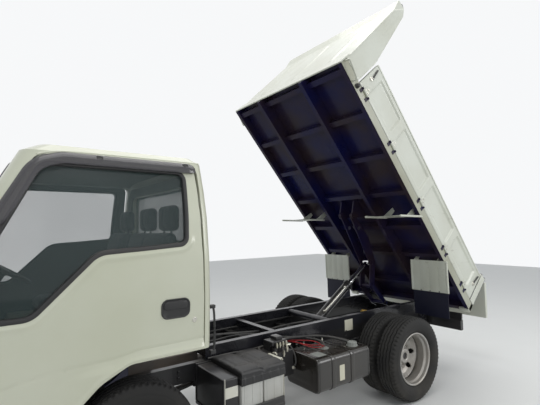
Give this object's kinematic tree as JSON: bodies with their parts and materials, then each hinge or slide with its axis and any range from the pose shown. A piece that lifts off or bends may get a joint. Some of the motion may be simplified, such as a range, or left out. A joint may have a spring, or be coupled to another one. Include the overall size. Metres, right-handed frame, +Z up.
{
  "type": "light dump truck",
  "caption": "Light cab-over dump truck with a raised steel bed, drop sides, a top-hung tailgate, a hydraulic lift-arm hoist, a tilting cab and twin rear tyres.",
  "frame": {"origin": "on the floor under the middle of the truck, its whole outer box centred", "axes": "+X forward along the truck, +Y to its left, +Z up"},
  "size_m": [5.041, 2.02, 3.6673],
  "materials": {
    "body_paint": "gloss",
    "chassis_paint": "satin",
    "bed_under_paint": "satin",
    "silver_paint": "satin",
    "cast_metal": "matte",
    "pipe_steel": "satin",
    "rod_chrome": "gloss",
    "black_plastic": "matte",
    "dark_trim": "matte",
    "smoked_plastic": "gloss",
    "window_glass": "gloss",
    "lamp_lens": "gloss",
    "red_lens": "gloss",
    "seat_cloth": "matte",
    "tyre_rubber": "matte",
    "flap_rubber": "matte"
  },
  "bodies": {
    "chassis": {"frame_rails": "chassis_paint", "dump_subframe": "chassis_paint", "front_axle": "chassis_paint", "rear_axle": "chassis_paint", "leaf_springs": "chassis_paint", "powertrain": "cast_metal", "fuel_tank": "chassis_paint", "battery_box": "black_plastic", "hydraulic_unit": "chassis_paint", "exhaust": "pipe_steel", "rear_bar": "chassis_paint", "rear_lamps": "red_lens", "front_bumper": "dark_trim"},
    "cab": {"cab_shell": "body_paint", "windscreen": "window_glass", "rear_window": "window_glass", "front_panel": "dark_trim", "headlamps": "lamp_lens", "dashboard": "dark_trim", "seats": "seat_cloth", "mirrors": "black_plastic"},
    "steering_wheel": {"steering_wheel": "black_plastic"},
    "bed": {"bed_floor": "bed_under_paint", "headboard": "body_paint", "mudguards": "body_paint", "mud_flaps": "flap_rubber"},
    "side_gate_left": {"side_gate_left": "body_paint"},
    "side_gate_right": {"side_gate_right": "body_paint"},
    "tailgate": {"tailgate": "body_paint"},
    "lift_arm": {"lift_arm": "bed_under_paint"},
    "tension_link": {"tension_link": "bed_under_paint"},
    "hoist_barrel": {"hoist_barrel": "chassis_paint"},
    "hoist_rod": {"hoist_rod": "rod_chrome"},
    "door_left": {"door_left": "body_paint", "door_glass_left": "window_glass", "rain_visor_left": "smoked_plastic"},
    "knuckle_left": {"knuckle_left": "cast_metal"},
    "wheel_front_left": {"tyre_front_left": "tyre_rubber", "rim_front_left": "silver_paint"},
    "wheel_rear_left": {"tyre_rear_left": "tyre_rubber", "rim_rear_left": "silver_paint"},
    "door_right": {"door_right": "body_paint", "door_glass_right": "window_glass", "rain_visor_right": "smoked_plastic"},
    "knuckle_right": {"knuckle_right": "cast_metal"},
    "wheel_front_right": {"tyre_front_right": "tyre_rubber", "rim_front_right": "silver_paint"},
    "wheel_rear_right": {"tyre_rear_right": "tyre_rubber", "rim_rear_right": "silver_paint"}
  },
  "joints": [
    {"name": "bed_tilt", "type": "hinge", "parent": "chassis", "child": "bed", "pos_m": [-1.97947, 0, 0.7], "axis": [0, -1, 0], "range_deg": [-50, 0]},
    {"name": "lift_arm_turn", "type": "hinge", "parent": "bed", "child": "lift_arm", "pos_m": [-1.14014, 0, 1.65359], "axis": [0, -1, 0], "range_deg": [-2.2, 0]},
    {"name": "tension_link_turn", "type": "hinge", "parent": "chassis", "child": "tension_link", "pos_m": [-1.62647, 0, 0.6727], "axis": [0, -1, 0], "range_deg": [-110.2, 0]},
    {"name": "barrel_turn", "type": "hinge", "parent": "chassis", "child": "hoist_barrel", "pos_m": [-0.64947, 0, 0.6], "axis": [0, -1, 0], "range_deg": [0, 34.1]},
    {"name": "rod_slide", "type": "slide", "parent": "hoist_barrel", "child": "hoist_rod", "axis": [-0.8314, 0, 0.5557], "range_m": [-0.304, 0]},
    {"name": "tailgate_swing", "type": "hinge", "parent": "bed", "child": "tailgate", "pos_m": [-2.49753, 0, 0.91801], "axis": [0, 1, 0], "range_deg": [-50, 40]},
    {"name": "side_gate_left_drop", "type": "hinge", "parent": "bed", "child": "side_gate_left", "pos_m": [-2.07752, 0.814, 0.78228], "axis": [-0.6428, 0, -0.766], "range_deg": [0, 135]},
    {"name": "side_gate_right_drop", "type": "hinge", "parent": "bed", "child": "side_gate_right", "pos_m": [-2.07752, -0.814, 0.78228], "axis": [0.6428, 0, 0.766], "range_deg": [0, 135]},
    {"name": "cab_tilt", "type": "hinge", "parent": "chassis", "child": "cab", "pos_m": [2.34053, 0, 0.52], "axis": [0, 1, 0], "range_deg": [0, 45]},
    {"name": "door_left_swing", "type": "hinge", "parent": "cab", "child": "door_left", "pos_m": [2.08103, 0.825, 0.95], "axis": [0, 0, -1], "range_deg": [0, 65]},
    {"name": "door_right_swing", "type": "hinge", "parent": "cab", "child": "door_right", "pos_m": [2.08103, -0.825, 0.95], "axis": [0, 0, 1], "range_deg": [0, 65]},
    {"name": "steer_left", "type": "hinge", "parent": "chassis", "child": "knuckle_left", "pos_m": [1.38053, 0.6, 0.357], "axis": [0, 0, 1], "range_deg": [-33, 33]},
    {"name": "steer_right", "type": "hinge", "parent": "chassis", "child": "knuckle_right", "pos_m": [1.38053, -0.6, 0.357], "axis": [0, 0, 1], "range_deg": [-33, 33]},
    {"name": "steering_wheel_turn", "type": "hinge", "parent": "cab", "child": "steering_wheel", "pos_m": [1.9328, -0.4, 1.26841], "axis": [-0.5299, 0, 0.848], "range_deg": [-528, 528]},
    {"name": "spin_front_left", "type": "hinge", "parent": "knuckle_left", "child": "wheel_front_left", "pos_m": [1.38053, 0.69, 0.357], "axis": [0, 1, 0], "continuous": true},
    {"name": "spin_front_right", "type": "hinge", "parent": "knuckle_right", "child": "wheel_front_right", "pos_m": [1.38053, -0.69, 0.357], "axis": [0, 1, 0], "continuous": true},
    {"name": "spin_rear_left", "type": "hinge", "parent": "chassis", "child": "wheel_rear_left", "pos_m": [-1.04947, 0.657, 0.357], "axis": [0, 1, 0], "continuous": true},
    {"name": "spin_rear_right", "type": "hinge", "parent": "chassis", "child": "wheel_rear_right", "pos_m": [-1.04947, -0.657, 0.357], "axis": [0, 1, 0], "continuous": true}
  ],
  "couplings": [
    {"joint": "lift_arm_turn", "follows": "bed_tilt", "ratio": 0.042717},
    {"joint": "tension_link_turn", "follows": "bed_tilt", "ratio": 2.2028},
    {"joint": "barrel_turn", "follows": "bed_tilt", "ratio": -0.68084},
    {"joint": "rod_slide", "follows": "bed_tilt", "m_per_rad": 0.34806},
    {"joint": "steer_right", "follows": "steer_left", "ratio": 1},
    {"joint": "steering_wheel_turn", "follows": "steer_left", "ratio": 16}
  ]
}
